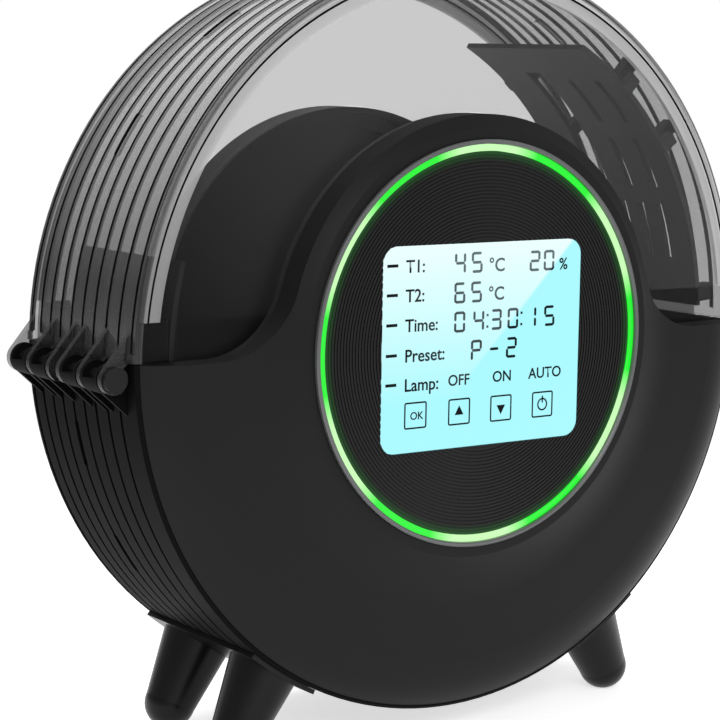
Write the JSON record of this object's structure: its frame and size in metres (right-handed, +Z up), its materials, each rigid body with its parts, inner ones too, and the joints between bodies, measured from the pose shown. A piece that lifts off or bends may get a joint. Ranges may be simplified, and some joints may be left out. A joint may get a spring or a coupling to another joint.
{
  "type": "filament dryer box",
  "caption": "Round drum-shaped filament dryer on splayed legs, with a clear hinged lid, spool rollers, a heater under a slotted liner and a round front display with a light ring.",
  "frame": {"origin": "on the floor, under the middle of the drum", "axes": "+Z up, -Y out of the display, so the drum's axis is along Y, and the lid's hinge is on the -X side"},
  "size_m": [0.2968, 0.1054, 0.2845],
  "materials": {
    "black_abs": "fine satin texture",
    "smoky_clear_plastic": "polished, smoke tinted",
    "pin_plastic": "polished",
    "grey_trim": "satin",
    "light_guide": "milky, lit green",
    "circuit_board": "solder mask",
    "black_gloss": "fine ring grooves",
    "display_glass": "lit pale cyan",
    "liner_plastic": "moulded",
    "heater_aluminium": "plain sheet",
    "heater_film": "amber film",
    "roller_plastic": "smooth",
    "steel": "plain"
  },
  "bodies": {
    "base": {"base_tub": "black_abs", "front_cover": "black_abs", "rear_cover": "black_abs", "hinge_pin": "pin_plastic", "trim_ring": "grey_trim", "light_ring": "light_guide", "led_board": "circuit_board", "display_face": "black_gloss", "touch_glass": "display_glass", "lcd_module": "display_glass", "control_board": "circuit_board", "pod_tray": "black_abs", "slotted_liner": "liner_plastic", "heater_plate": "heater_aluminium", "heater_film": "heater_film", "sensor_board": "circuit_board", "dc_jack": "black_abs", "roller_axle_left": "steel", "roller_axle_right": "steel", "roller_bracket_front": "liner_plastic", "roller_bracket_rear": "liner_plastic", "foot_left": "black_abs", "foot_right": "black_abs", "foot_screws": "steel", "rear_cover_screws": "steel", "pod_screws": "steel"},
    "lid": {"lid_shell": "smoky_clear_plastic", "lid_deflector": "liner_plastic"},
    "roller_left_front": {"roller_left_front": "roller_plastic"},
    "roller_left_rear": {"roller_left_rear": "roller_plastic"},
    "roller_right_front": {"roller_right_front": "roller_plastic"},
    "roller_right_rear": {"roller_right_rear": "roller_plastic"}
  },
  "joints": [
    {"name": "lid_hinge", "type": "hinge", "parent": "base", "child": "lid", "pos_m": [-0.143, 0, 0.142], "axis": [0, -1, 0], "range_deg": [0, 100]},
    {"name": "roller_left_front_spin", "type": "hinge", "parent": "base", "child": "roller_left_front", "pos_m": [-0.0545, -0.022, 0.0526], "axis": [0, 1, 0], "continuous": true},
    {"name": "roller_left_rear_spin", "type": "hinge", "parent": "base", "child": "roller_left_rear", "pos_m": [-0.0545, 0.022, 0.0526], "axis": [0, 1, 0], "continuous": true},
    {"name": "roller_right_front_spin", "type": "hinge", "parent": "base", "child": "roller_right_front", "pos_m": [0.0545, -0.022, 0.0526], "axis": [0, 1, 0], "continuous": true},
    {"name": "roller_right_rear_spin", "type": "hinge", "parent": "base", "child": "roller_right_rear", "pos_m": [0.0545, 0.022, 0.0526], "axis": [0, 1, 0], "continuous": true}
  ]
}
